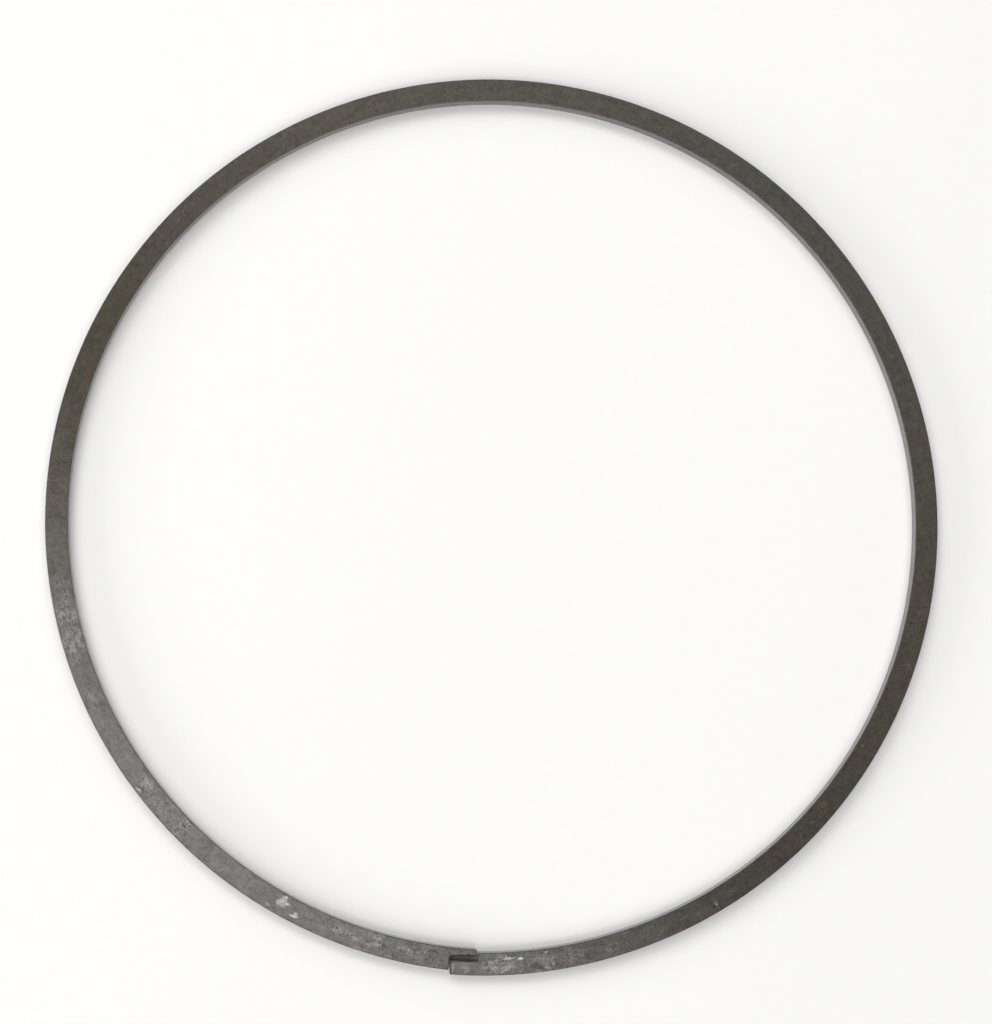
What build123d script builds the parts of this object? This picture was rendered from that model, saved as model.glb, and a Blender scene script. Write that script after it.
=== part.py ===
from build123d import *

import os
from math import asin, degrees, radians, tan

# Open metal sealing ring with a lapped step joint, as it lies free on a flat surface, in one piece.
# Millimetres. The ring's axis is Z, its underside is Z = 0, and the joint is on the -Y side.
# Angles are counter-clockwise from +X, seen from above.

# Section of the ring
outer_diameter = 96.0
radial_width = 2.4
ring_height = 1.95
edge_break = 0.05

# Free shape: a round body, a little off the ring's axis, and three arcs that run on from it and from
# each other without a kink. Each has a larger or smaller radius than the arc that it runs on from.
body_offset_x = -0.12
body_offset_y = -0.08
outer_end_flattening = 2.1
left_side_tightening = 0.27
inner_end_flattening = 1.1
outer_end_angle = -60.0
left_side_angle = 124.0
inner_end_angle = 222.0

# Step joint: a tongue on each end lies beside the other, and each tip stops short of the step that it faces
tongue_length = 2.95
joint_gap = 0.16
outer_tongue_width = 1.47
inner_tongue_slope = 2.8
inner_tip_rounding = 0.35
widest_tip_rounding = 0.8
corner_rounding = 0.08

FULL_TURN = 360.0

# Places along the joint, measured in X from its middle
joint_length = tongue_length + joint_gap
inner_root_x = -joint_length / 2
outer_root_x = joint_length / 2
inner_tip_x = inner_root_x + tongue_length
outer_tip_x = outer_root_x - tongue_length

# Tongue widths: at their roots the two tongues fill the section between them
inner_tongue_width = radial_width - outer_tongue_width
inner_tip_rise = tongue_length * tan(radians(inner_tongue_slope))


def run_on(centre, radius, next_radius, angle):
    """Centre of the arc that takes over, with its own radius, at this angle of the rim before it."""
    return centre + Vector(radius - next_radius, 0, 0).rotate(Axis.Z, angle)


def angle_at(centre, radius, x):
    """Angle, about its own centre, at which a rim crosses the line X = x on the joint's side."""
    return degrees(asin((x - centre.X) / radius)) - 90


def rim(centre, radius, start, finish):
    """Arc of a rim from one angle to another."""
    return CenterArc(centre, radius, start, finish - start)


# Outer radius and centre of each stretch, in order round the ring from the outer tongue to the inner one
body_radius = outer_diameter / 2
body_centre = Vector(body_offset_x, body_offset_y, 0)
outer_end_radius = body_radius + outer_end_flattening
outer_end_centre = run_on(body_centre, body_radius, outer_end_radius, outer_end_angle)
left_side_radius = body_radius - left_side_tightening
left_side_centre = run_on(body_centre, body_radius, left_side_radius, left_side_angle)
inner_end_radius = left_side_radius + inner_end_flattening
inner_end_centre = run_on(left_side_centre, left_side_radius, inner_end_radius, inner_end_angle)

# Radii of what lies inside the outer rim at the two ends
tongue_face_radius = outer_end_radius - outer_tongue_width
outer_end_inner_radius = outer_end_radius - radial_width
inner_end_inner_radius = inner_end_radius - radial_width

with BuildPart() as sealing_ring:
    with BuildSketch() as plan:
        with BuildLine() as outline:
            # Outer rim, from the tip of the outer tongue round to the step of the other end, where the
            # angle is counted on past the left side, to a full turn from the first
            outer_tip_angle = angle_at(outer_end_centre, outer_end_radius, outer_tip_x)
            inner_step_angle = angle_at(inner_end_centre, inner_end_radius, inner_root_x) + FULL_TURN
            outer_end_rim = rim(outer_end_centre, outer_end_radius, outer_tip_angle, outer_end_angle)
            rim(body_centre, body_radius, outer_end_angle, left_side_angle)
            rim(left_side_centre, left_side_radius, left_side_angle, inner_end_angle)
            inner_end_rim = rim(inner_end_centre, inner_end_radius, inner_end_angle, inner_step_angle)

            # Inner rim, from the tip of the inner tongue back round to the step of the outer one
            inner_tip_angle = angle_at(inner_end_centre, inner_end_inner_radius, inner_tip_x) + FULL_TURN
            outer_step_angle = angle_at(outer_end_centre, outer_end_inner_radius, outer_root_x)
            inner_end_bore = rim(inner_end_centre, inner_end_inner_radius, inner_end_angle, inner_tip_angle)
            rim(left_side_centre, left_side_radius - radial_width, left_side_angle, inner_end_angle)
            rim(body_centre, body_radius - radial_width, outer_end_angle, left_side_angle)
            outer_end_bore = rim(outer_end_centre, outer_end_inner_radius, outer_step_angle, outer_end_angle)

            # Inner tongue: its step, its flat outer face, which slopes in towards the tip, and its tip
            root_angle = angle_at(inner_end_centre, inner_end_inner_radius, inner_root_x)
            bore_at_root = inner_end_centre + Vector(inner_end_inner_radius, 0, 0).rotate(Axis.Z, root_angle)
            inner_root = bore_at_root - Vector(0, inner_tongue_width, 0)
            inner_tip = inner_root + Vector(tongue_length, inner_tip_rise, 0)
            Line(inner_end_rim @ 1, inner_root)
            Line(inner_root, inner_tip)
            inner_tip_face = Line(inner_tip, inner_end_bore @ 1)

            # Outer tongue: its step, its inner face, which follows its rim, and its tip
            face_root_angle = angle_at(outer_end_centre, tongue_face_radius, outer_root_x)
            face_tip_angle = angle_at(outer_end_centre, tongue_face_radius, outer_tip_x)
            tongue_face = rim(outer_end_centre, tongue_face_radius, face_tip_angle, face_root_angle)
            Line(outer_end_bore @ 0, tongue_face @ 1)
            Line(tongue_face @ 0, outer_end_rim @ 0)
        make_face()
    extrude(amount=ring_height)

    # The inner tongue's tip is worn round on the bore side, over most of its width at the widest
    uprights = sealing_ring.edges().filter_by(Axis.Z)
    worn_corner = uprights.sort_by_distance(inner_end_bore @ 1)[0]
    fillet(worn_corner, radius=min(inner_tip_rounding, widest_tip_rounding * inner_tip_face.length))

    # The other outside corners of the two ends are only broken
    uprights = sealing_ring.edges().filter_by(Axis.Z)
    end_corners = [inner_end_rim @ 1, inner_tip, outer_end_bore @ 0, outer_end_rim @ 0, tongue_face @ 0]
    fillet([uprights.sort_by_distance(corner)[0] for corner in end_corners], radius=corner_rounding)

    # Both side faces have their edges broken all the way round
    chamfer(sealing_ring.faces().filter_by(Plane.XY).edges(), length=edge_break)

sealing_ring.part.label = "sealing_ring"
os.makedirs("parts", exist_ok=True)
export_step(sealing_ring.part, "parts/sealing_ring.step")

box = sealing_ring.part.bounding_box()
print("sealing ring", box.size, "volume", round(sealing_ring.part.volume, 1), "mm3")
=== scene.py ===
# %% [markdown]
# The object is an open sealing ring: cast iron, turned and ground all over, with a dark phosphate coat.
# Its two ends are cut to half their width and lie side by side, so that the joint stays closed as the
# ring springs out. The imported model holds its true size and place. This script lays a finer skin with a
# worn finish over that model, stands it on a pale table, lights it and points a camera at it.

import math

import bmesh
import bpy
import numpy as np
from mathutils import Matrix, Vector, bvhtree, kdtree, noise


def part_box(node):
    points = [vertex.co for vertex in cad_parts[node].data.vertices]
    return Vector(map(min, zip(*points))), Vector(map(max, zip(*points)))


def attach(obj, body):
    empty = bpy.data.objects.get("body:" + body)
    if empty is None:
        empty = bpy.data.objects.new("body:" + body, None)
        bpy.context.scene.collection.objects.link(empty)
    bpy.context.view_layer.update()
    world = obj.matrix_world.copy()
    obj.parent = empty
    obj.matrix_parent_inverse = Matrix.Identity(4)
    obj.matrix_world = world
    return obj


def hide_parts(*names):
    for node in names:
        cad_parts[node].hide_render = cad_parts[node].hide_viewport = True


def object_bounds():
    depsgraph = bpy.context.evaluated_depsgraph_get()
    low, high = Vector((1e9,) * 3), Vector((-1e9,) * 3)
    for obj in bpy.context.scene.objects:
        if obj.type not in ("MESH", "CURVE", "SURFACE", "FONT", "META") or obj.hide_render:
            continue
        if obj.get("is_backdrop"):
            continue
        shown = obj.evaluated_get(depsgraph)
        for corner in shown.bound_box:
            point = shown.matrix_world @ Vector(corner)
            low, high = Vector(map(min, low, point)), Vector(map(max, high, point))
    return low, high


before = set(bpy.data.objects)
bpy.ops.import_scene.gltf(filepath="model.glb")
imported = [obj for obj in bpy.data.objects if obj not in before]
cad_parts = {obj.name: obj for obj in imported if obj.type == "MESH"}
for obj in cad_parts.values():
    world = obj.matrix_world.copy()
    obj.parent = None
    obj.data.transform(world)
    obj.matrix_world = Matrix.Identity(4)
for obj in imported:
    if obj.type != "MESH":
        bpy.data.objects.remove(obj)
MM = 0.001
NODE = "sealing_ring"
packed_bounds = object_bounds()
box_low, box_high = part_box(NODE)
print("packed ring, mm:", [round(side / MM, 2) for side in box_high - box_low])

# %% [markdown]
# A photograph taken from close above shows the walls of a ring as well as its face, and how much of each
# wall shows depends on where the lens stood. So the camera is placed first. It hangs almost over the
# middle, a little to the lower left, and looks almost straight down at a point near the middle. Its
# place, that point and the turn of the picture were fitted to the photograph.

# %% Camera
camera_place = Vector((-18.50, -19.29, 289.42)) * MM
looked_at = Vector((-0.048, 1.090, 0.0)) * MM
picture_turn = 4.316
sensor_side = 36.0
# The picture's longer side, which Blender gives the sensor's width, and the focal length, in pixels
picture_side = 1024
focal_length = 2694.4
nearest_seen = 0.01


def camera_matrix(place, target, turn):
    """Place and aim of a camera, whose picture is turned by so many degrees round the ring's axis."""
    back = (place - target).normalized()
    picture_up = Vector((-math.sin(math.radians(turn)), math.cos(math.radians(turn)), 0))
    right = picture_up.cross(back).normalized()
    up = back.cross(right)
    aim = Matrix((right, up, back)).transposed().to_4x4()
    return Matrix.Translation(place) @ aim


camera = bpy.data.objects.new("camera", bpy.data.cameras.new("camera"))
camera.data.sensor_width = sensor_side
camera.data.lens = focal_length * sensor_side / picture_side
camera.data.clip_start = nearest_seen
camera.matrix_world = camera_matrix(camera_place, looked_at, picture_turn)
bpy.context.scene.collection.objects.link(camera)
bpy.context.scene.camera = camera
print("lens, mm:", round(camera.data.lens, 2), "height over the table, mm:", camera_place.z / MM)

# %% [markdown]
# Left free, such a ring isn't a true circle: it is sprung open, and it was finished round in its closed
# state. Its plan is a round body and three more arcs, each of which leaves the one before it without a
# kink, because its centre lies on the line from that arc's centre to the point where they meet. A point
# of the ring is then given by two plain numbers: how many degrees round it lies, and how deep it lies in
# from the outer rim. Everything below is placed with those two numbers and the height.

# %% The free shape of the rim
outer_diameter = 96.0
radial_width = 2.4
ring_height = (box_high.z - box_low.z) / MM
body_offset = (-0.12, -0.08)
outer_end_flattening = 2.1
left_side_tightening = 0.27
inner_end_flattening = 1.1
outer_end_angle = -60.0
left_side_angle = 124.0
inner_end_angle = 222.0


def direction(around):
    """Unit vectors in the plan, for angles in degrees from +X."""
    return np.stack([np.cos(np.radians(around)), np.sin(np.radians(around))], axis=-1)


def run_on(centre, radius, next_radius, angle):
    """Centre of the arc that takes over, with its own radius, at this angle of the arc before it."""
    return centre + (radius - next_radius) * direction(angle)


body_radius = outer_diameter / 2
outer_end_radius = body_radius + outer_end_flattening
left_side_radius = body_radius - left_side_tightening
inner_end_radius = left_side_radius + inner_end_flattening
body_centre = np.array(body_offset)
outer_end_centre = run_on(body_centre, body_radius, outer_end_radius, outer_end_angle)
left_side_centre = run_on(body_centre, body_radius, left_side_radius, left_side_angle)
inner_end_centre = run_on(left_side_centre, left_side_radius, inner_end_radius, inner_end_angle)

stretch_ends = np.array([outer_end_angle, left_side_angle, inner_end_angle])
stretch_centres = np.array([outer_end_centre, body_centre, left_side_centre, inner_end_centre])
stretch_radii = np.array([outer_end_radius, body_radius, left_side_radius, inner_end_radius])


def plan_point(around, depth):
    """Points of the plan: so many degrees round from +X, and so deep in from the outer rim."""
    stretch = np.searchsorted(stretch_ends, around)
    radius = stretch_radii[stretch] - depth
    return stretch_centres[stretch] + radius[..., None] * direction(around)


rim_reach = plan_point(np.linspace(-90, 270, 721), np.zeros(721))
print("rim, mm:", np.round(np.ptp(rim_reach, axis=0), 2))

# %% [markdown]
# The joint is a pair of tongues. The outer tongue belongs to the end on the +X side and takes the outer
# 1.47 mm of the width; the inner tongue belongs to the other end and lies beside it, toward the middle.
# Steps and tips are cut square, along lines of the same X. The skin is a grid of stations along the ring
# and columns across it. Stations stand close together beside the joint, where the corners are, and
# columns stand closer together near the edges. A column of the grid runs along the side of the tongues,
# so that cutting the tongues out is only a matter of leaving cells away.

# %% Stations and columns
tongue_length = 2.95
joint_gap = 0.16
outer_tongue_width = 1.47
inner_tongue_slope = 2.8
joint_spacing = 0.07
body_spacing = 0.205
fine_reach = 7.0
lean_reach = 4.0
trial_points = 40001
FULL_TURN = 360.0

joint_length = tongue_length + joint_gap
inner_root_x, outer_root_x = -joint_length / 2, joint_length / 2
inner_tip_x = inner_root_x + tongue_length
outer_tip_x = outer_root_x - tongue_length
inner_tongue_width = radial_width - outer_tongue_width
mm_per_degree = math.radians(1) * (body_radius - radial_width / 2)


def around_at(centre, radius, x, depth):
    """Degrees round at which a line of this depth crosses the line X = x, on the joint's side."""
    return np.degrees(np.arcsin((x - centre[0]) / (radius - depth))) - 90


def crossed_at(centre, radius, x, turns=0):
    """Where stations of the same X cross the outer rim and the bore, in degrees round."""
    rim = around_at(centre, radius, x, 0) + turns * FULL_TURN
    bore = around_at(centre, radius, x, radial_width) + turns * FULL_TURN
    return np.stack([rim, bore], axis=1)


def body_stations(start, finish):
    """Stations from one step to the other. Near the steps they lean as the steps do."""
    fine = np.linspace(start[0], finish[0], trial_points)
    from_joint = np.minimum(fine - fine[0], fine[-1] - fine) * mm_per_degree
    spacing = np.interp(from_joint, [0, fine_reach], [joint_spacing, body_spacing])
    count = np.concatenate([[0], np.cumsum(np.diff(fine) * mm_per_degree / spacing[1:])])
    rim = np.interp(np.linspace(0, count[-1], round(count[-1]) + 1), count, fine)
    lean_start = (start[1] - start[0]) * np.clip(1 - (rim - rim[0]) * mm_per_degree / lean_reach, 0, 1)
    lean_finish = (finish[1] - finish[0]) * np.clip(1 - (rim[-1] - rim) * mm_per_degree / lean_reach, 0, 1)
    return np.stack([rim, rim + lean_start + lean_finish], axis=1)


def graded(start, finish, count, crowding=0.45):
    """Lines from start to finish, crowded towards both."""
    even = np.linspace(0, 1, count + 1)
    crowded = (1 - np.cos(np.pi * even)) / 2
    return start + (finish - start) * (even + (crowded - even) * crowding)


tongue_stations = round(tongue_length / joint_spacing)
outer_tongue_x = np.linspace(outer_tip_x, outer_root_x, tongue_stations + 1)
inner_tongue_x = np.linspace(inner_root_x, inner_tip_x, tongue_stations + 1)
outer_tongue = crossed_at(outer_end_centre, outer_end_radius, outer_tongue_x)
inner_tongue = crossed_at(inner_end_centre, inner_end_radius, inner_tongue_x, turns=1)
body = body_stations(outer_tongue[-1], inner_tongue[0])
stations = np.concatenate([outer_tongue[:-1], body, inner_tongue[1:]])
outer_step, inner_step = tongue_stations, len(stations) - 1 - tongue_stations

outer_columns = graded(0, outer_tongue_width, 9)
inner_columns = graded(outer_tongue_width, radial_width, 6)
columns = np.concatenate([outer_columns, inner_columns[1:]])
split = len(outer_columns) - 1
print("stations:", len(stations), "columns:", len(columns))

# %% [markdown]
# Now the plan itself. The inner tongue's side is a straight cut that slopes in towards its tip, so its
# columns are squeezed between that cut and the bore. The corners of the ends are rounded by drawing the
# small square of grid at each corner into a quarter disc, which keeps the cells in order. The bore corner
# of the inner tongue is worn much rounder than the others.

# %% The plan as a grid
corner_rounding = 0.08
inner_tip_rounding = 0.35
corner_block = 12
corner_slack = 0.02


def inner_tongue_side(x):
    """Depth, in from the outer rim's line, of the inner tongue's sloping side."""
    root_around = around_at(inner_end_centre, inner_end_radius, inner_root_x, radial_width)
    bore_at_root = inner_end_centre + (inner_end_radius - radial_width) * direction(root_around)
    rise = (x - inner_root_x) * math.tan(math.radians(inner_tongue_slope))
    from_centre_x = x - inner_end_centre[0]
    from_centre_y = bore_at_root[1] - inner_tongue_width + rise - inner_end_centre[1]
    return inner_end_radius - np.hypot(from_centre_x, from_centre_y)


depths = np.tile(columns, (len(stations), 1))
for station, x in enumerate(inner_tongue_x[1:], start=inner_step + 1):
    share = (inner_columns - outer_tongue_width) / inner_tongue_width
    side = inner_tongue_side(x)
    depths[station, split:] = side + (radial_width - side) * share
arounds = stations[:, :1] + (stations[:, 1:] - stations[:, :1]) * depths / radial_width
grid = plan_point(arounds, depths)


def round_off(station, column, along, across, radius):
    """Draws the grid's corner into a quarter disc. along and across are +1 or -1, towards the metal."""
    corner = grid[station, column].copy()
    side_a = grid[station + along, column] - corner
    side_b = grid[station, column + across] - corner
    axes = np.stack([side_a / np.linalg.norm(side_a), side_b / np.linalg.norm(side_b)], axis=1)
    reach = corner_block * along + station
    block = np.s_[min(station, reach):max(station, reach) + 1, :]
    local = (grid[block] - corner) @ np.linalg.inv(axes).T
    inside = (local > -corner_slack).all(-1) & (local < radius).all(-1)
    spoke = local - radius
    square_distance = np.abs(spoke).max(-1, keepdims=True)
    length = np.linalg.norm(spoke, axis=-1, keepdims=True)
    rounded = radius + spoke / np.maximum(length, 1e-9) * square_distance
    local[inside] = rounded[inside]
    grid[block] = corner + local @ axes.T


round_off(0, 0, 1, 1, corner_rounding)
round_off(0, split, 1, -1, corner_rounding)
round_off(outer_step, len(columns) - 1, 1, -1, corner_rounding)
round_off(inner_step, 0, -1, 1, corner_rounding)
round_off(len(stations) - 1, split, -1, 1, corner_rounding)
round_off(len(stations) - 1, len(columns) - 1, -1, -1, inner_tip_rounding)

in_ring = np.ones(depths.shape, bool)
in_ring[:outer_step, split + 1:] = False
in_ring[inner_step + 1:, :split] = False
number = np.full(depths.shape, -1)
number[in_ring] = np.arange(in_ring.sum())
plan = grid[in_ring]
plan_along = np.radians(arounds[in_ring] + 90) * (body_radius - radial_width / 2)
plan_depth = depths[in_ring]

corners = np.stack([number[:-1, :-1], number[1:, :-1], number[1:, 1:], number[:-1, 1:]], axis=-1)
cells = corners[(corners >= 0).all(-1)]
print("plan points:", len(plan), "cells:", len(cells))

# %% [markdown]
# The walls grow out of the plan's outline. Each side of a cell that no other cell shares belongs to the
# outline, which gives it in order of direction for nothing. Each point of it also gets a direction into
# the metal, so that an edge can be drawn in there.

# %% Outline
sides = np.concatenate([cells[:, [k, (k + 1) % 4]] for k in range(4)])
side_keys = {(a, b) for a, b in sides.tolist()}
outline = np.array([(a, b) for a, b in sides.tolist() if (b, a) not in side_keys])
outline = outline[np.argsort(outline[:, 0])]
rim_points = outline[:, 0]
slot_of = np.full(len(plan), -1)
slot_of[rim_points] = np.arange(len(rim_points))
after = slot_of[outline[:, 1]]
before = np.empty_like(after)
before[after] = np.arange(len(after))

run = plan[rim_points[after]] - plan[rim_points]
run /= np.linalg.norm(run, axis=1, keepdims=True)
# Cells turn clockwise here or not, by how the grid runs: the sign of the first cell's area says which
first = plan[cells[0]]
turn_sign = np.sign(np.cross(first[1] - first[0], first[2] - first[0]))
inward = np.stack([-run[:, 1], run[:, 0]], axis=1) * turn_sign
facing = inward + inward[before]
drawn_in = facing / np.maximum(1 + (inward * inward[before]).sum(1), 0.4)[:, None]

outline_along = plan_along[rim_points]
outline_depth = plan_depth[rim_points]
outline_around = np.degrees(outline_along / (body_radius - radial_width / 2)) - 90
print("outline points:", len(rim_points))

# %% [markdown]
# No edge of the real ring is quite sharp. To break the edges the outline is drawn in at the top and the
# bottom over a small quarter round. How far it is drawn in changes from place to place: a little
# everywhere, as handling does, more along the tongue's side, and in short bites along the bore edge where
# the coat and a grain of iron have chipped away. All of it takes metal away, so the skin stays inside the
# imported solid.

# %% Edge breaks and chips
edge_break = 0.055
edge_unevenness = 0.03
tongue_side_break = 0.15
tongue_tip_break = 0.11
bore_chips = [
    # degrees round, length in mm, depth in mm
    (358.6, 0.5, 0.10), (1.5, 0.9, 0.12), (3.3, 1.1, 0.15), (6.6, 0.5, 0.10), (9.6, 0.8, 0.12),
    (11.0, 0.7, 0.14), (13.6, 1.2, 0.11), (17.2, 1.6, 0.13), (20.4, 0.5, 0.09), (25.0, 0.8, 0.08),
    (321.9, 0.7, 0.17), (316.2, 0.4, 0.10), (292.0, 0.5, 0.09), (278.0, 0.6, 0.11), (246.0, 0.5, 0.09),
    (229.4, 1.3, 0.12), (221.6, 0.4, 0.08), (208.0, 0.5, 0.07), (150.0, 0.4, 0.08), (96.0, 0.4, 0.08),
    (60.0, 0.4, 0.07), (43.0, 0.5, 0.08),
]
rim_chips = [
    (304.9, 0.9, 0.12), (289.0, 0.4, 0.08), (277.9, 0.4, 0.09), (247.0, 0.9, 0.09), (228.9, 1.0, 0.10),
    (197.5, 0.6, 0.09), (204.0, 0.5, 0.08), (141.0, 0.5, 0.09), (74.0, 0.4, 0.07), (335.0, 0.5, 0.08),
]

# How long the unevenness of an edge is, in millimetres, and how narrow and wide a break gets
slow_wear, quick_wear, chip_crumbs, lower_wear = 2.3, 0.35, 0.16, 1.9
upper_limits = (0.03, 0.24)
lower_limits = (0.03, 0.12)
# Where the inner tongue's side and the outer tongue's tip are looked for, in millimetres
tongue_side_depth, side_reach, end_reach, root_clear, tip_reach = 1.45, 0.3, 4.0, 0.1, 0.15


def ripple(along, row, size):
    """Smooth unevenness from -1 to 1 that changes over this many millimetres along the ring."""
    return np.array([noise.noise((a / size, row, 0.5)) for a in along])


def bites(chips, row):
    """Extra edge break of short ragged chips, each a length of edge that has crumbled."""
    extra = np.zeros(len(outline_along))
    for chip_around, length, depth in chips:
        away = (outline_around - chip_around + 180) % FULL_TURN - 180
        share = np.clip(1 - (np.abs(away) * mm_per_degree / (length / 2)) ** 2, 0, 1)
        extra = np.maximum(extra, depth * share)
    return extra * (0.75 + 0.5 * ripple(outline_along, row, chip_crumbs))


at_bore = outline_depth > radial_width - 1e-6
at_rim = outline_depth < 1e-6
on_inner_tongue_side = outline_along > plan_along.max() - end_reach
on_inner_tongue_side &= np.abs(outline_depth - tongue_side_depth) < side_reach
on_inner_tongue_side &= outline_along > plan_along[number[inner_step, split]] + root_clear
on_outer_tip = outline_along < plan_along[number[0, split]] + tip_reach

wear = ripple(outline_along, 1.0, slow_wear) + 0.6 * ripple(outline_along, 5.0, quick_wear)
wear = edge_unevenness * wear
upper_break = edge_break + wear
upper_break[at_bore] += bites(bore_chips, 9.0)[at_bore]
upper_break[at_rim] += bites(rim_chips, 13.0)[at_rim]
upper_break[on_inner_tongue_side] = tongue_side_break
upper_break[on_outer_tip] = tongue_tip_break
lower_break = edge_break + edge_unevenness * ripple(outline_along, 21.0, lower_wear)
upper_break = np.clip(upper_break, *upper_limits)
lower_break = np.clip(lower_break, *lower_limits)
print("widest break, mm:", round(float(upper_break.max()), 3))

# %% [markdown]
# The skin can now be put together: the plan once at the bottom and once at the top, and rows of points up
# the walls between them. The dents are real: a pit of missing metal and a few shallow knocks press the
# upper face down.

# %% Build the skin
round_steps = (30, 60, 90)
wall_rows = 6
dents = [
    # degrees round, depth in mm, half length, half width, how far down
    (304.1, 0.80, 0.28, 0.22, 0.060), (228.95, 1.75, 0.75, 0.35, 0.030), (245.0, 1.5, 0.8, 0.55, 0.022),
    (247.0, 0.75, 0.6, 0.18, 0.020), (276.5, 1.70, 1.9, 0.18, 0.020), (280.9, 0.95, 1.3, 0.70, 0.018),
    (323.3, 1.35, 0.9, 0.50, 0.015), (333.2, 1.60, 0.25, 0.12, 0.030), (221.8, 0.40, 0.4, 0.15, 0.025),
    (255.0, 1.25, 1.6, 0.25, 0.015), (257.4, 1.50, 1.1, 0.50, 0.015), (200.6, 0.60, 0.30, 0.2, 0.015),
]


def along_of(around):
    """Millimetres along the rolled-out ring. The count starts at the joint, at the -Y side."""
    return math.radians((around + 90) % FULL_TURN) * (body_radius - radial_width / 2)


def quarter(rounding, angle):
    """How far in and how far from the face a point of the quarter round lies. 0 is the face, 90 the wall."""
    turned = math.radians(angle)
    return rounding * (1 - math.sin(turned)), rounding * (1 - math.cos(turned))


points = []
from_edge = []
row_depth = []


def add_row(inset, height, edge_distance):
    """One row of points round the walls."""
    row = plan[rim_points] + drawn_in * np.reshape(inset, (-1, 1))
    height = np.broadcast_to(height, len(row))
    points.append(np.column_stack([row, height]))
    from_edge.append(np.broadcast_to(edge_distance, len(row)))


def face_points(edge_breaks, height):
    """The plan at one height, with its outline drawn in."""
    level = plan.copy()
    level[rim_points] += drawn_in * edge_breaks[:, None]
    return np.column_stack([level, np.full(len(level), height)])


nearest = kdtree.KDTree(len(rim_points))
for slot, point in enumerate(plan[rim_points]):
    nearest.insert((*point, 0), slot)
nearest.balance()
plan_from_edge = np.array([nearest.find((*point, 0))[2] for point in plan]) - edge_break
plan_from_edge = np.clip(plan_from_edge, 0, None)

lower_face = face_points(lower_break, 0)
upper_face = face_points(upper_break, ring_height)
for dent_around, dent_depth, half_length, half_width, down in dents:
    away_along = (plan_along - along_of(dent_around)) / half_length
    away = np.hypot(away_along, (plan_depth - dent_depth) / half_width)
    upper_face[:, 2] -= down * np.clip(1 - away ** 2, 0, 1) ** 2

points += [lower_face, upper_face]
from_edge += [plan_from_edge, plan_from_edge]
for angle in round_steps:
    inset, rise = quarter(lower_break, angle)
    add_row(inset, rise, 0)
for step in range(1, wall_rows):
    share = step / wall_rows
    height = lower_break + (ring_height - upper_break - lower_break) * share
    add_row(0, height, np.minimum(height - lower_break, ring_height - upper_break - height))
for angle in reversed(round_steps):
    inset, drop = quarter(upper_break, angle)
    add_row(inset, ring_height - drop, 0)

places = np.concatenate(points)
edge_distances = np.concatenate(from_edge)
alongs = np.concatenate([plan_along, plan_along] + [outline_along] * (len(points) - 2))
indepths = np.concatenate([plan_depth, plan_depth] + [outline_depth] * (len(points) - 2))

# Numbers of the outline's points, row by row from the bottom face to the top face
first_row = 2 * len(plan)
rows = [rim_points]
rows += [first_row + k * len(rim_points) + np.arange(len(rim_points)) for k in range(len(points) - 2)]
rows += [len(plan) + rim_points]
walls = [np.stack([low, low[after], high[after], high], axis=1) for low, high in zip(rows, rows[1:])]
faces = np.concatenate([cells[:, ::-1], cells + len(plan), *walls])
if turn_sign < 0:
    faces = faces[:, ::-1]
print("rows of the walls:", len(walls), "faces:", len(faces))

# %% [markdown]
# The lists of points and faces become a mesh in one go, which is quick. Two things are kept with it for
# the finish. The place of each point as if the ring were rolled out straight, in millimetres along, in
# from the rim and up, lets every pattern follow the ring. The distance from the nearest edge tells where
# the coat is rubbed off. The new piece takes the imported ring's place and rides with it.

# %% Turn the skin into an object
sharp_angle = 38
skin = bpy.data.meshes.new("sealing_ring_skin")
skin.from_pydata((places * MM).tolist(), [], faces.tolist())
skin.polygons.foreach_set("use_smooth", np.ones(len(faces), bool))
skin.set_sharp_from_angle(angle=math.radians(sharp_angle))
rolled_out = skin.attributes.new("rolled_out", "FLOAT_VECTOR", "POINT")
rolled_out.data.foreach_set("vector", np.column_stack([alongs, indepths, places[:, 2]]).ravel())
edge_attribute = skin.attributes.new("from_edge", "FLOAT", "POINT")
edge_attribute.data.foreach_set("value", edge_distances.astype(float))

ring = bpy.data.objects.new("sealing_ring_worn", skin)
bpy.context.scene.collection.objects.link(ring)
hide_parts(NODE)
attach(ring, "root")

# Keeps the flat faces flat to the light, right up to the narrow rounds along their edges
weighted = ring.modifiers.new("flat faces", "WEIGHTED_NORMAL")
weighted.keep_sharp = True
print("piece:", ring.name, "points:", len(skin.vertices))

# %% [markdown]
# A skin like this can look right and still have a hole, or stand off the model that it covers. So it is
# measured: its volume, its open edges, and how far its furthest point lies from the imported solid.

# %% Measure the skin
checked = bmesh.new()
checked.from_mesh(skin)
volume = checked.calc_volume(signed=True) / MM ** 3
open_edges = sum(not edge.is_manifold for edge in checked.edges)
packed_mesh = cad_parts[NODE].data
packed_tree = bvhtree.BVHTree.FromPolygons([v.co for v in packed_mesh.vertices],
                                           [p.vertices for p in packed_mesh.polygons])
furthest = max(packed_tree.find_nearest(Vector(p) * MM)[3] for p in places) / MM
checked.free()
print("triangles:", 2 * len(faces), "volume, mm3:", round(volume, 1), "open edges:", open_edges)
print("furthest from the packed solid, mm:", round(furthest, 3))

# %% [markdown]
# The finish is built from nodes. A few small helpers keep that readable: one adds a node and fills its
# inputs, whether with a value or with another node's output; one does arithmetic; one makes cloudy noise
# whose size is given in millimetres of the rolled-out ring. A noise node by itself swings less the more
# fine detail it has, so the helper evens that out: its result lies round 0 and usually within 1 of it.

# %% Helpers for materials
PLAIN_NOISE_SWING = 0.13


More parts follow.
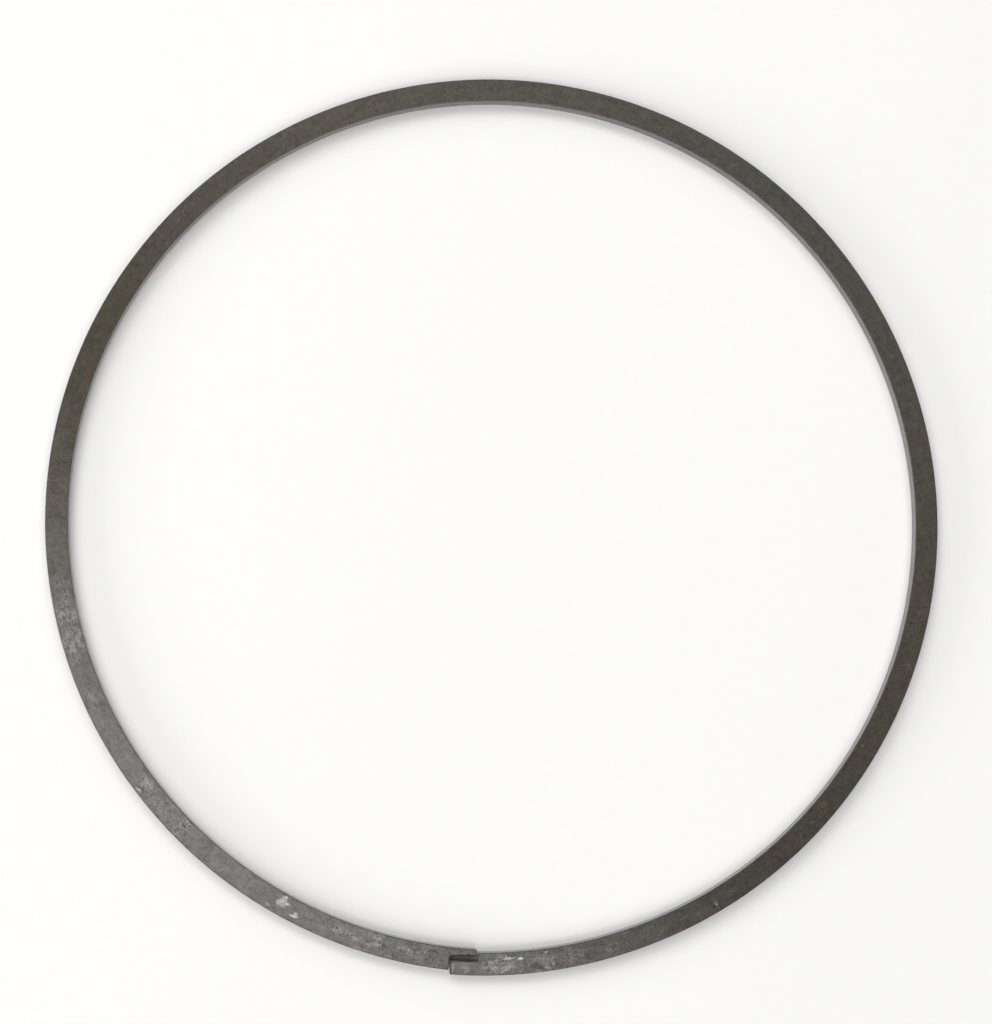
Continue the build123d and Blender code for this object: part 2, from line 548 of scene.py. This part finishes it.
def add(tree, kind, inputs=None, **settings):
    """Adds a shader node. inputs maps a socket's name or number to a value or to another node's output."""
    made = tree.nodes.new(kind)
    for name, value in settings.items():
        setattr(made, name, value)
    for name, value in (inputs or {}).items():
        if isinstance(value, bpy.types.NodeSocket):
            tree.links.new(value, made.inputs[name])
        else:
            made.inputs[name].default_value = value
    return made


def maths(tree, operation, *values, clamp=False):
    """Output of a Math node."""
    inputs = dict(enumerate(values))
    return add(tree, "ShaderNodeMath", inputs, operation=operation, use_clamp=clamp).outputs[0]


def vectors(tree, operation, *values):
    """Output of a Vector Math node."""
    return add(tree, "ShaderNodeVectorMath", dict(enumerate(values)), operation=operation).outputs[0]


def remap(tree, value, low, high, to_low=0.0, to_high=1.0):
    """Output that goes smoothly from to_low to to_high as value goes from low to high."""
    inputs = {"Value": value, "From Min": low, "From Max": high, "To Min": to_low, "To Max": to_high}
    return add(tree, "ShaderNodeMapRange", inputs, interpolation_type="SMOOTHSTEP").outputs["Result"]


def mix(tree, amount, base, over):
    """Colour that goes from base to over as amount goes from 0 to 1."""
    return add(tree, "ShaderNodeMix", {0: amount, 6: base, 7: over}, data_type="RGBA").outputs[2]


def clouds(tree, place, size, detail=3, stretch=1.0, rough=0.6, turn=0.0, shift=0.0):
    """Noise with lumps about size mm across, stretch times as long along the ring or along a turned line."""
    if turn:
        place = add(tree, "ShaderNodeVectorRotate", {"Vector": place, "Angle": math.radians(turn)},
                    rotation_type="Z_AXIS", invert=True).outputs[0]
    fitted = vectors(tree, "MULTIPLY_ADD", place, (1 / (size * stretch), 1 / size, 1 / size),
                     (shift, 0.7 * shift, 0.3 * shift))
    inputs = {"Vector": fitted, "Scale": 1.0, "Detail": detail, "Roughness": rough}
    noisy = add(tree, "ShaderNodeTexNoise", inputs).outputs["Fac"]
    layers = rough ** np.arange(detail + 1)
    swing = PLAIN_NOISE_SWING * float(np.sqrt((layers ** 2).sum()) / layers.sum())
    return maths(tree, "MULTIPLY", maths(tree, "SUBTRACT", noisy, 0.5), 1 / swing)


def shaken(tree, place, size, reach):
    """The place, moved about by up to roughly reach mm, which gives marks a ragged outline."""
    fitted = vectors(tree, "MULTIPLY", place, (1 / size, 1 / size, 1 / size))
    noisy = add(tree, "ShaderNodeTexNoise", {"Vector": fitted, "Scale": 1.0, "Detail": 3.0, "Roughness": 0.7})
    return vectors(tree, "MULTIPLY_ADD", vectors(tree, "SUBTRACT", noisy.outputs["Color"], (0.5, 0.5, 0.5)),
                   (4 * reach, 4 * reach, 0.0), place)


print("helpers: add, maths, vectors, remap, mix, clouds, shaken")

# %% [markdown]
# Most of what tells this ring from a new one are its marks: places where the coat is rubbed to bright
# iron, scuffs, scratches, a stain. Each has a place on the ring, a length, a width and a turn. A node group
# draws one: it moves the rolled-out place to the mark's middle, turns it, divides it by the mark's reach
# and fades with the distance. The place that it is given is shaken by noise first, which makes the outline
# ragged. The third part of the reach keeps a mark on the face where it belongs.

# %% A node group that draws one mark
face_reach = 0.5


def make_mark_group():
    group = bpy.data.node_groups.new("mark on the ring", "ShaderNodeTree")
    for name, kind in (("Place", "Vector"), ("Middle", "Vector"), ("Reach", "Vector"),
                       ("Turn", "Float"), ("Softness", "Float")):
        group.interface.new_socket(name, in_out="INPUT", socket_type=f"NodeSocket{kind}")
    group.interface.new_socket("Mask", in_out="OUTPUT", socket_type="NodeSocketFloat")
    given = group.nodes.new("NodeGroupInput").outputs
    moved = vectors(group, "SUBTRACT", given["Place"], given["Middle"])
    turned = add(group, "ShaderNodeVectorRotate", {"Vector": moved, "Angle": given["Turn"]},
                 rotation_type="Z_AXIS", invert=True).outputs[0]
    shares = vectors(group, "DIVIDE", turned, given["Reach"])
    distance = add(group, "ShaderNodeVectorMath", {0: shares}, operation="LENGTH").outputs["Value"]
    inner = maths(group, "SUBTRACT", 1.0, given["Softness"])
    add(group, "NodeGroupOutput", {"Mask": remap(group, distance, inner, 1.0, 1.0, 0.0)})
    return group


mark_group = make_mark_group()


def mark(tree, place, around, depth, half_length, half_width, turn=0.0, softness=0.6):
    """Mask of one mark on the upper face."""
    middle = (along_of(around), depth, ring_height)
    inputs = {"Place": place, "Middle": middle, "Reach": (half_length, half_width, face_reach),
              "Turn": math.radians(turn), "Softness": softness}
    return add(tree, "ShaderNodeGroup", inputs, node_tree=mark_group).outputs["Mask"]


def all_marks(tree, place, listed, softness):
    """Mask of several marks together. Each is listed as around, depth, half length, half width, turn."""
    masks = [mark(tree, place, *one, softness=softness) for one in listed]
    together = masks[0]
    for mask in masks[1:]:
        together = maths(tree, "MAXIMUM", together, mask)
    return together


print("mark group:", len(mark_group.nodes), "nodes")

# %% [markdown]
# Where the marks lie, in the order in which they are laid over each other. Stains are brown. Faint and
# scuffed patches are broken up into flecks that are paler than the coat. Brushed patches are covered with
# fine parallel strokes. Scratches are long and a few hundredths of a millimetre wide. Bright rubs are
# where the coat is gone and iron shows. Dark nicks hold dirt, and one thin dark line beside a knock is a
# painted shadow.

# %% The marks
# Each is: degrees round, mm in from the rim, half length, half width, turn in degrees towards the bore
stains = [
    (323.4, 1.30, 1.30, 0.60, 0), (273.7, 0.40, 0.45, 0.20, 20), (270.8, 1.20, 0.22, 0.18, 0),
    (275.4, 2.16, 2.20, 0.12, 0), (281.6, 2.20, 1.60, 0.10, 0), (304.1, 0.80, 0.30, 0.24, 30),
    (307.0, 1.30, 0.95, 0.60, 0), (189.6, 1.90, 1.60, 0.40, 0), (192.0, 0.60, 0.80, 0.50, 60),
    (246.4, 1.35, 0.30, 0.50, 20), (289.4, 1.85, 0.40, 0.22, 50), (301.8, 0.90, 0.70, 0.50, 0),
    (166.0, 1.70, 2.50, 0.60, 0), (172.0, 0.70, 2.00, 0.50, 0), (152.2, 1.75, 0.22, 0.10, 50),
]
faint_patches = [
    (285.2, 1.10, 1.50, 1.20, 0), (290.0, 1.00, 1.20, 0.90, 0), (224.5, 1.10, 3.40, 1.20, 0),
    (262.2, 1.20, 1.90, 1.10, 0), (345.2, 0.85, 0.90, 0.45, 0), (352.8, 0.95, 0.90, 0.40, 0),
    (235.3, 0.60, 1.50, 0.60, 0), (194.0, 1.20, 2.20, 1.50, 0), (276.2, 1.10, 2.60, 1.20, 0),
    (248.8, 1.30, 1.60, 0.90, 0), (208.5, 1.10, 2.60, 0.60, 0), (281.0, 1.00, 1.50, 1.00, 0),
]
scuffed_patches = [
    (228.9, 1.35, 1.00, 0.80, 14), (228.7, 0.42, 0.65, 0.30, 0), (197.0, 1.30, 1.80, 1.60, 0),
    (200.6, 1.20, 2.30, 1.60, 0), (252.6, 1.25, 0.95, 0.44, 5), (254.8, 1.20, 1.40, 0.54, 0),
    (257.6, 1.45, 1.50, 0.90, 6), (255.6, 0.42, 0.85, 0.26, 0), (260.0, 0.35, 0.65, 0.28, 0),
    (271.7, 0.70, 0.60, 0.50, 0), (221.7, 1.45, 0.80, 0.95, 0), (280.7, 0.14, 0.90, 0.18, 0),
    (282.5, 0.85, 0.22, 0.65, 0), (281.8, 0.36, 0.50, 0.28, 0), (243.2, 0.45, 0.75, 0.18, 0),
    (274.6, 0.95, 1.00, 0.80, 0), (270.06, 0.75, 0.22, 0.70, 0), (282.0, 2.05, 0.60, 0.14, 0),
]
brushed_patches = [
    (275.9, 0.85, 2.00, 0.85, 20), (276.5, 1.72, 2.10, 0.30, 0),
]
scratches = [
    (236.2, 0.85, 0.55, 0.040, 65), (236.1, 1.65, 0.60, 0.040, 110), (264.1, 0.70, 0.65, 0.045, 80),
    (264.3, 1.55, 0.55, 0.045, 75), (262.2, 1.25, 0.85, 0.035, 88), (296.6, 0.75, 0.55, 0.035, 38),
    (296.0, 0.60, 0.45, 0.030, 40), (139.6, 0.80, 0.80, 0.035, 32), (141.2, 1.20, 0.70, 0.035, 40),
    (203.3, 0.75, 1.10, 0.050, -55), (280.9, 1.78, 1.05, 0.030, -4), (321.0, 1.10, 0.70, 0.025, -30),
    (333.1, 1.75, 0.24, 0.050, 10), (213.0, 1.10, 0.90, 0.022, 25), (318.5, 0.90, 0.80, 0.025, 48),
    (266.0, 1.20, 0.70, 0.022, 70), (241.0, 1.90, 1.10, 0.022, 4), (300.4, 1.30, 1.50, 0.022, 8),
    (60.5, 1.10, 0.90, 0.022, 35), (88.0, 1.40, 1.20, 0.022, -20), (20.0, 0.90, 1.00, 0.022, 28),
]
bright_rubs = [
    (244.75, 1.32, 0.70, 0.52, 10), (245.25, 1.52, 0.62, 0.46, 0), (244.9, 1.88, 0.34, 0.42, 0),
    (246.9, 0.68, 0.70, 0.20, 6), (247.05, 0.90, 0.24, 0.30, 0), (221.7, 0.35, 0.50, 0.14, 6),
    (228.9, 2.00, 0.80, 0.08, 14), (278.5, 1.68, 0.40, 0.16, 0), (277.0, 1.74, 0.75, 0.13, 3),
    (275.4, 1.60, 0.55, 0.09, 0), (276.4, 0.55, 0.60, 0.07, 42), (276.9, 0.70, 0.50, 0.06, 44),
]
# The thin line at 229.3 degrees, 2.16 mm in, is painted shadow under the knock there; the rest is dirt
nicks_and_painted_shadow = [
    (229.6, 1.45, 0.10, 0.09, 0), (229.3, 2.16, 0.50, 0.035, 14), (221.8, 0.68, 0.95, 0.05, 18),
    (304.1, 0.80, 0.24, 0.18, 20), (304.9, 0.14, 0.35, 0.14, 0), (256.2, 0.60, 0.50, 0.14, -30),
    (322.0, 2.20, 0.30, 0.15, 0), (244.7, 2.22, 0.30, 0.06, 0), (258.9, 1.20, 0.30, 0.50, 10),
    (265.4, 1.90, 0.60, 0.30, 0), (279.1, 1.00, 0.16, 0.80, 8),
]
listed_marks = (stains, faint_patches, scuffed_patches, brushed_patches, scratches, bright_rubs, nicks_and_painted_shadow)
print("marks:", sum(len(listed) for listed in listed_marks))

# %% [markdown]
# The phosphate coat is a crust of fine dark crystals on the iron, kept in oil. Close up it is grainy and
# mottled; round the ring its tone drifts between olive and brown. The drift is a colour ramp round the
# ring with a stop wherever the tone changes; its lighter stretches at the top and on the lower left are in
# part a painted reflection of the lamps overhead, laid into the colour. The noises, from lumps of a
# millimetre down to single crystals, are made once and shared by every layer that follows, so that colour,
# gloss and relief change at the same places.

# %% The coat
# Each stop is: degrees round, colour. The ramp starts and ends at the joint, at 270 degrees
# The lighter stops from 85 to 140 and from 196 to 256 degrees are in part painted reflection of the lamps
coat_and_reflection_stops = [
    (271, (0.063, 0.058, 0.050)), (285, (0.058, 0.053, 0.045)), (303, (0.052, 0.046, 0.038)),
    (335, (0.058, 0.052, 0.043)), (0, (0.068, 0.062, 0.052)), (50, (0.077, 0.072, 0.063)),
    (85, (0.090, 0.084, 0.073)), (115, (0.098, 0.091, 0.078)), (140, (0.084, 0.076, 0.063)),
    (160, (0.068, 0.060, 0.046)), (178, (0.062, 0.054, 0.042)), (196, (0.074, 0.067, 0.058)),
    (240, (0.082, 0.077, 0.069)), (256, (0.070, 0.065, 0.058)), (265, (0.044, 0.041, 0.036)),
]
crystal_brown = (0.084, 0.065, 0.046, 1)
crystal_dark = (0.034, 0.031, 0.027, 1)
crystal_green = (0.076, 0.079, 0.063, 1)
most_brown, most_green, most_dark = 0.60, 0.50, 0.45


def coat_noises(tree):
    """The place on the ring and every noise that the finish shares, by name."""
    place = add(tree, "ShaderNodeAttribute", attribute_name="rolled_out").outputs["Vector"]
    edge = add(tree, "ShaderNodeAttribute", attribute_name="from_edge").outputs["Fac"]
    parts = add(tree, "ShaderNodeSeparateXYZ", {0: place}).outputs
    return {
        "place": place,
        "edge": edge,
        "along": parts["X"],
        "depth": parts["Y"],
        "drift": clouds(tree, place, 6.0, detail=2, stretch=2.0),
        "mottle": clouds(tree, place, 1.1, detail=3, stretch=1.3, rough=0.8),
        "specks": clouds(tree, place, 0.65, detail=4, rough=1.0, shift=40),
        "grain": clouds(tree, place, 0.20, detail=1, rough=1.0, shift=90),
        "tint": clouds(tree, place, 0.45, detail=3, rough=0.9, shift=150),
        "ragged": shaken(tree, place, 0.45, 0.16),
        "wavy": shaken(tree, place, 0.60, 0.07),
    }


def coat_and_reflection_ramp(tree, along):
    """The coat's colour round the ring, with its painted reflection, from the listed stops."""
    node = add(tree, "ShaderNodeValToRGB", {0: maths(tree, "DIVIDE", along, FULL_TURN * mm_per_degree)})
    stops = node.color_ramp.elements
    for index, (around, colour) in enumerate(coat_and_reflection_stops):
        position = ((around + 90) % FULL_TURN) / FULL_TURN
        stop = stops[index] if index < 2 else stops.new(position)
        stop.position = position
        stop.color = (*colour, 1)
    return node.outputs["Color"]


def coat_colour(tree, noises):
    """The unworn coat with its painted reflection: the ramp, with browner, greener and darker crystals in it.
    """
    tint, specks = noises["tint"], noises["specks"]
    coat = coat_and_reflection_ramp(tree, noises["along"])
    coat = mix(tree, remap(tree, tint, 0.0, 2.2, 0.0, most_brown), coat, crystal_brown)
    coat = mix(tree, remap(tree, tint, 0.0, -2.2, 0.0, most_green), coat, crystal_green)
    return mix(tree, remap(tree, specks, -0.9, -2.6, 0.0, most_dark), coat, crystal_dark)


print("stops of the coat:", len(coat_and_reflection_stops))

# %% [markdown]
# Next come the marks that leave some of the coat on: stains, scuffs, fine strokes and scratches. Each kind
# is a mask, broken up by the specks so that the coat still shows between its flecks, and a share of a paler
# or browner colour is mixed in where the mask is. The masks are handed on, because a scuff also changes
# the gloss and a scratch the relief.

# %% Marks that leave some of the coat on
rust_brown = (0.098, 0.068, 0.046, 1)
scuff_grey = (0.27, 0.265, 0.25, 1)
brushed_grey = (0.36, 0.36, 0.345, 1)
faint_share, scuffed_share, brushed_share = 0.20, 0.72, 0.45
stroke_turn = 42


def scuffed_colour(tree, noises, coat):
    """The coat with stains, scuffs, strokes and scratches over it, and the masks of the last three."""
    specks, ragged, wavy = noises["specks"], noises["ragged"], noises["wavy"]
    flecked = remap(tree, specks, -1.3, 1.5, 0.0, 1.0)
    stained = all_marks(tree, ragged, stains, 0.8)
    stained = maths(tree, "MULTIPLY", stained, remap(tree, specks, -1.5, 1.2, 0.1, 0.8))
    colour = mix(tree, stained, coat, rust_brown)
    scuffed = maths(tree, "MULTIPLY", all_marks(tree, ragged, scuffed_patches, 0.6), flecked)
    faint = maths(tree, "MULTIPLY", all_marks(tree, ragged, faint_patches, 0.8), flecked)
    colour = mix(tree, maths(tree, "MULTIPLY", faint, faint_share), colour, scuff_grey)
    colour = mix(tree, maths(tree, "MULTIPLY", scuffed, scuffed_share), colour, scuff_grey)
    strokes = clouds(tree, wavy, 0.16, detail=2, stretch=4.0, rough=0.9, turn=stroke_turn, shift=200)
    lengthwise = clouds(tree, wavy, 0.14, detail=2, stretch=4.0, rough=0.9, shift=260)
    across, along_ring = (mark(tree, ragged, *one, softness=0.7) for one in brushed_patches)
    across = maths(tree, "MULTIPLY", across, remap(tree, strokes, -0.5, 2.0, 0.12, 1.0))
    along_ring = maths(tree, "MULTIPLY", along_ring, remap(tree, lengthwise, -0.4, 1.4, 0.0, 1.0))
    brushed = maths(tree, "MAXIMUM", across, along_ring)
    colour = mix(tree, maths(tree, "MULTIPLY", brushed, brushed_share), colour, brushed_grey)
    scored = all_marks(tree, wavy, scratches, 0.7)
    scored = maths(tree, "MULTIPLY", scored, remap(tree, noises["grain"], -1.5, 1.0, 0.15, 0.75))
    return mix(tree, scored, colour, scuff_grey), scuffed, brushed, scored


print("shares of faint, scuffed and brushed:", faint_share, scuffed_share, brushed_share)

# %% [markdown]
# Where the coat is gone, iron shows: in the bright rubs, and as a thin broken line along the edges, most
# of all at the bore. Along two stretches of the outer edge the same pale line is stronger; there it is a
# painted highlight, the shine of the rounded edge laid into the colour. The edge line comes from the
# distance that was kept with the mesh. Dirt in the nicks goes on last, and with it one painted shadow.

# %% Bare iron, dirt, and painted highlight and shadow
bare_iron = (0.40, 0.39, 0.37, 1)
edge_iron_and_highlight_colour = (0.26, 0.245, 0.21, 1)
dirt_and_shadow_colour = (0.028, 0.024, 0.019, 1)
most_edge, most_dirt_and_shadow = 0.75, 0.8
# Where a painted highlight lightens the outer edge, in degrees round: starts, full, full still, ends
edge_highlight_stretches = [(18, 40, 72, 90), (184, 197, 222, 234)]


def edge_wear_and_highlight(tree, along, depth):
    """How much of the edge iron shows: little on most of the rim, more at the bore, and a painted highlight
    on two outer stretches.
    """
    wear = remap(tree, depth, 0.4, 1.6, 0.04, 0.40)
    at_rim = remap(tree, depth, 0.2, 0.6, 1.0, 0.0)
    for starts, full, still, ends in edge_highlight_stretches:
        rising = remap(tree, along, along_of(starts), along_of(full))
        falling = remap(tree, along, along_of(still), along_of(ends), 1.0, 0.0)
        # Painted highlight: the outer edge lightened over these stretches
        painted_highlight = maths(tree, "MULTIPLY", maths(tree, "MULTIPLY", rising, falling), at_rim)
        wear = maths(tree, "MAXIMUM", wear, painted_highlight)
    return wear


def bared_colour(tree, noises, colour):
    """The colour with bare iron, a painted edge highlight, dirt and a painted shadow over it, and the masks
    of rubs, edges and dirt with shadow.
    """
    rubbed = all_marks(tree, noises["ragged"], bright_rubs, 0.55)
    rubbed = maths(tree, "MULTIPLY", rubbed, remap(tree, noises["specks"], -2.0, 0.6, 0.35, 0.95))
    colour = mix(tree, rubbed, colour, bare_iron)
    uneven_edge = maths(tree, "ADD", noises["edge"], maths(tree, "MULTIPLY", noises["mottle"], 0.022))
    highlit_and_worn_edge = remap(tree, uneven_edge, 0.035, -0.03, 0.0, most_edge)
    highlit_and_worn_edge = maths(tree, "MULTIPLY", highlit_and_worn_edge, edge_wear_and_highlight(tree, noises["along"], noises["depth"]))
    # Bare iron along the edges, and a painted highlight on two stretches of the outer edge
    colour = mix(tree, highlit_and_worn_edge, colour, edge_iron_and_highlight_colour)
    dirt_and_shadow = all_marks(tree, noises["wavy"], nicks_and_painted_shadow, 0.6)
    # Dirt in the nicks, and one painted shadow line under a knock
    return mix(tree, maths(tree, "MULTIPLY", dirt_and_shadow, most_dirt_and_shadow), colour, dirt_and_shadow_colour), rubbed, highlit_and_worn_edge, dirt_and_shadow


# These stretches carry a painted highlight
print("rubbed stretches of the outer edge:", len(edge_highlight_stretches))

# %% [markdown]
# The layers can now be put together. The crystals make the colour swing a little, more near the joint, and
# make the gloss swing with it. The coat is smooth enough to mirror a little of what hangs over it, and
# rougher where it is scuffed. The relief is only a few thousandths of a millimetre deep, too fine for the
# mesh, so it is bump: crystals, soft lumps, scratches, and the fine lines that turning leaves on the walls.

# %% The phosphated iron
coat_roughness = 0.10
worn_roughness = 0.12
roughness_swing = 0.008
coat_swing = 0.062
sheen_swing = 0.12
rubbed_metal, edge_metal, brushed_metal = 0.55, 0.40, 0.30
relief_depth = 0.006 * MM
relief_strength = 0.5
# The livelier stretch by the joint: where it fades, in millimetres past it, and begins, in degrees round
lively_fades, lively_begins = (11.0, 14.0), (249, 253)


def toned(tree, noises, colour):
    """The colour made to swing with the crystals, and the strength of its mirroring."""
    tone = maths(tree, "ADD", noises["specks"], noises["grain"])
    tone = maths(tree, "ADD", maths(tree, "MULTIPLY", noises["mottle"], 0.7), tone)
    begins, full = (along_of(around) for around in lively_begins)
    near_joint = maths(tree, "MAXIMUM", remap(tree, noises["along"], *lively_fades, 1.0, 0.0),
                       remap(tree, noises["along"], begins, full))
    swing = maths(tree, "MULTIPLY_ADD", near_joint, coat_swing, coat_swing)
    sheen = maths(tree, "MULTIPLY_ADD", tone, 0.5 * sheen_swing, 0.5, clamp=True)
    tone = maths(tree, "MULTIPLY_ADD", tone, swing, 1.0)
    scaled = add(tree, "ShaderNodeVectorMath", {0: colour, "Scale": tone}, operation="SCALE")
    return scaled.outputs[0], sheen


def coat_relief(tree, noises, scored, dirt_and_shadow):
    """The direction of the surface, with crystals, lumps, turning lines, scratches and nicks."""
    turning = clouds(tree, noises["place"], 0.05, detail=1, stretch=60)
    crystals = maths(tree, "MULTIPLY", noises["grain"], 0.12)
    relief = maths(tree, "ADD", crystals, maths(tree, "MULTIPLY", noises["specks"], 0.16))
    relief = maths(tree, "ADD", relief, maths(tree, "MULTIPLY", turning, 0.04))
    relief = maths(tree, "SUBTRACT", relief, maths(tree, "MULTIPLY", scored, 0.6))
    relief = maths(tree, "SUBTRACT", relief, maths(tree, "MULTIPLY", dirt_and_shadow, 0.8))
    inputs = {"Strength": relief_strength, "Distance": relief_depth, "Height": relief}
    return add(tree, "ShaderNodeBump", inputs).outputs[0]


def phosphated_iron():
    """The whole finish of the ring."""
    material = bpy.data.materials.new("phosphated_iron_worn")
    material.use_nodes = True
    tree = material.node_tree
    tree.nodes.clear()
    noises = coat_noises(tree)
    coat = coat_colour(tree, noises)
    colour, scuffed, brushed, scored = scuffed_colour(tree, noises, coat)
    colour, rubbed, highlit_and_worn_edge, dirt_and_shadow = bared_colour(tree, noises, colour)
    colour, sheen = toned(tree, noises, colour)

    metal = maths(tree, "MULTIPLY", rubbed, rubbed_metal)
    metal = maths(tree, "MAXIMUM", metal, maths(tree, "MULTIPLY", highlit_and_worn_edge, edge_metal))
    metal = maths(tree, "MAXIMUM", metal, maths(tree, "MULTIPLY", brushed, brushed_metal))
    lumps = maths(tree, "ADD", noises["drift"], noises["mottle"])
    roughness = maths(tree, "MULTIPLY_ADD", lumps, roughness_swing, coat_roughness)
    worn = maths(tree, "MAXIMUM", maths(tree, "MAXIMUM", scuffed, brushed), rubbed)
    roughness = maths(tree, "MULTIPLY_ADD", worn, worn_roughness, roughness, clamp=True)
    surface = add(tree, "ShaderNodeBsdfPrincipled", {
        "Base Color": colour, "Metallic": metal, "Roughness": roughness, "Specular IOR Level": sheen,
        "Normal": coat_relief(tree, noises, scored, dirt_and_shadow)})
    add(tree, "ShaderNodeOutputMaterial", {"Surface": surface.outputs[0]})
    return material


iron = phosphated_iron()
skin.materials.append(iron)
print("finish nodes:", len(iron.node_tree.nodes))

# %% [markdown]
# The table is a plain pale sheet. It needs only a size, a quiet colour and a slight tooth, and it lies a
# hair under the ring so that the two never share a plane.

# %% Table
table_width = 1.6
table_drop = 0.02 * MM
sheet_white = (0.905, 0.900, 0.893, 1)
sheet_grey = (0.89, 0.885, 0.878, 1)
fibre_scale = 900.0


def pale_sheet():
    material = bpy.data.materials.new("pale_sheet")
    material.use_nodes = True
    tree = material.node_tree
    tree.nodes.clear()
    place = add(tree, "ShaderNodeTexCoord").outputs["Object"]
    fibres = add(tree, "ShaderNodeTexNoise", {"Vector": place, "Scale": fibre_scale, "Detail": 3.0})
    tone = remap(tree, fibres.outputs["Fac"], 0.3, 0.7, 0.0, 0.35)
    colour = mix(tree, tone, sheet_white, sheet_grey)
    surface = add(tree, "ShaderNodeBsdfPrincipled", {"Base Color": colour, "Roughness": 0.85,
                                                     "Specular IOR Level": 0.2})
    add(tree, "ShaderNodeOutputMaterial", {"Surface": surface.outputs[0]})
    return material


half = table_width / 2
sheet_mesh = bpy.data.meshes.new("table")
sheet_mesh.from_pydata([(-half, -half, -table_drop), (half, -half, -table_drop),
                        (half, half, -table_drop), (-half, half, -table_drop)], [], [(0, 1, 2, 3)])
sheet_mesh.materials.append(pale_sheet())
table = bpy.data.objects.new("table", sheet_mesh)
bpy.context.scene.collection.objects.link(table)
table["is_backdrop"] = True
print("table, m:", table_width)

# %% [markdown]
# The shadows beside the ring and the tones of its face hint where the light came from. Much of it hangs
# overhead, more comes from beyond the top and from the near side, and low light comes in from the left.
# The face mirrors light only on the lower left, from a strip that hangs almost straight above; what hangs
# over the rest of it is dark. So the other overhead lamps leave that dark part free and aren't seen in
# mirrors. The slot of the joint looks up into the same dark part, which is why it is black. An area lamp's
# strength is given here as how bright its surface looks, where 1 is white; the power that Blender wants
# follows from it.

# %% Lamps and surround
surround_brightness = 0.08
overhead_height = 1.2
# The mirrored strip begins along a line: a point of it and its turn in the plan
strip_start = Vector((-0.008, -0.060, overhead_height))
strip_turn = math.atan2(-0.197, 0.300)
strip_length, strip_reach = 0.90, 0.16
strip_brightness = 3.4
# Each is: name, x, y, width, height, brightness
overhead_lamps = [
    ("overhead beyond the top", -0.10, 0.57, 1.20, 0.56, 3.0),
    ("overhead near side", -0.05, -0.47, 1.10, 0.40, 3.6),
]
# Each is: name, degrees round, degrees above the table, distance, width, height, brightness
aimed_lamps = [
    ("sky", 128, 50, 1.2, 0.75, 0.42, 3.1),
    ("window", 102, 32, 1.2, 1.20, 0.55, 1.0),
    ("near side", 262, 48, 1.2, 0.90, 0.35, 1.8),
    ("low left", 199, 18, 1.0, 1.00, 0.36, 3.9),
]


def lamp(name, place, aim, width, height, brightness):
    """A rectangular soft lamp at a place in metres, which looks as bright as said."""
    data = bpy.data.lights.new(name, "AREA")
    data.shape = "RECTANGLE"
    data.size, data.size_y = width, height
    data.energy = brightness * math.pi * width * height
    made = bpy.data.objects.new(name, data)
    made.location = place
    made.rotation_euler = (Vector(aim) - Vector(place)).to_track_quat("-Z", "Y").to_euler()
    bpy.context.scene.collection.objects.link(made)
    return made


def toward(around, elevation, distance):
    """Point at this distance from the ring's middle, so many degrees round and above the table."""
    flat = distance * math.cos(math.radians(elevation))
    x, y = flat * direction(around)
    return Vector((x, y, distance * math.sin(math.radians(elevation))))


def level_lamp(name, x, y, width, height, brightness, turn=0.0):
    """A lamp that lies level overhead and shines straight down."""
    made = lamp(name, (x, y, overhead_height), (x, y, 0), width, height, brightness)
    made.rotation_euler = (0, 0, turn)
    return made


middle = (0, 0, 0)
strip_middle = strip_start + Vector((math.sin(strip_turn), -math.cos(strip_turn), 0)) * strip_reach / 2
level_lamp("mirrored strip", strip_middle.x, strip_middle.y, strip_length, strip_reach,
           strip_brightness, strip_turn)
for name, x, y, width, height, brightness in overhead_lamps:
    level_lamp(name, x, y, width, height, brightness).visible_glossy = False
for name, around, elevation, distance, width, height, brightness in aimed_lamps:
    lamp(name, toward(around, elevation, distance), middle, width, height, brightness)

surround = bpy.data.worlds.new("surround")
surround.use_nodes = True
background = surround.node_tree.nodes["Background"].inputs
background["Color"].default_value = (1.0, 1.0, 1.0, 1)
background["Strength"].default_value = surround_brightness
bpy.context.scene.world = surround
bpy.context.scene.view_settings.view_transform = "Standard"

# %% [markdown]
# Last, the size is printed, so that the skin can be held against the imported solid: both boxes, kept as
# plain numbers in metres and printed in millimetres.

# %% Sizes and finish
dressed_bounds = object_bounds()
boxes = {"packed": [list(corner) for corner in packed_bounds],
         "dressed": [list(corner) for corner in dressed_bounds]}
for name, (low, high) in boxes.items():
    print(name, "mm:", [round((b - a) / MM, 3) for a, b in zip(low, high)])
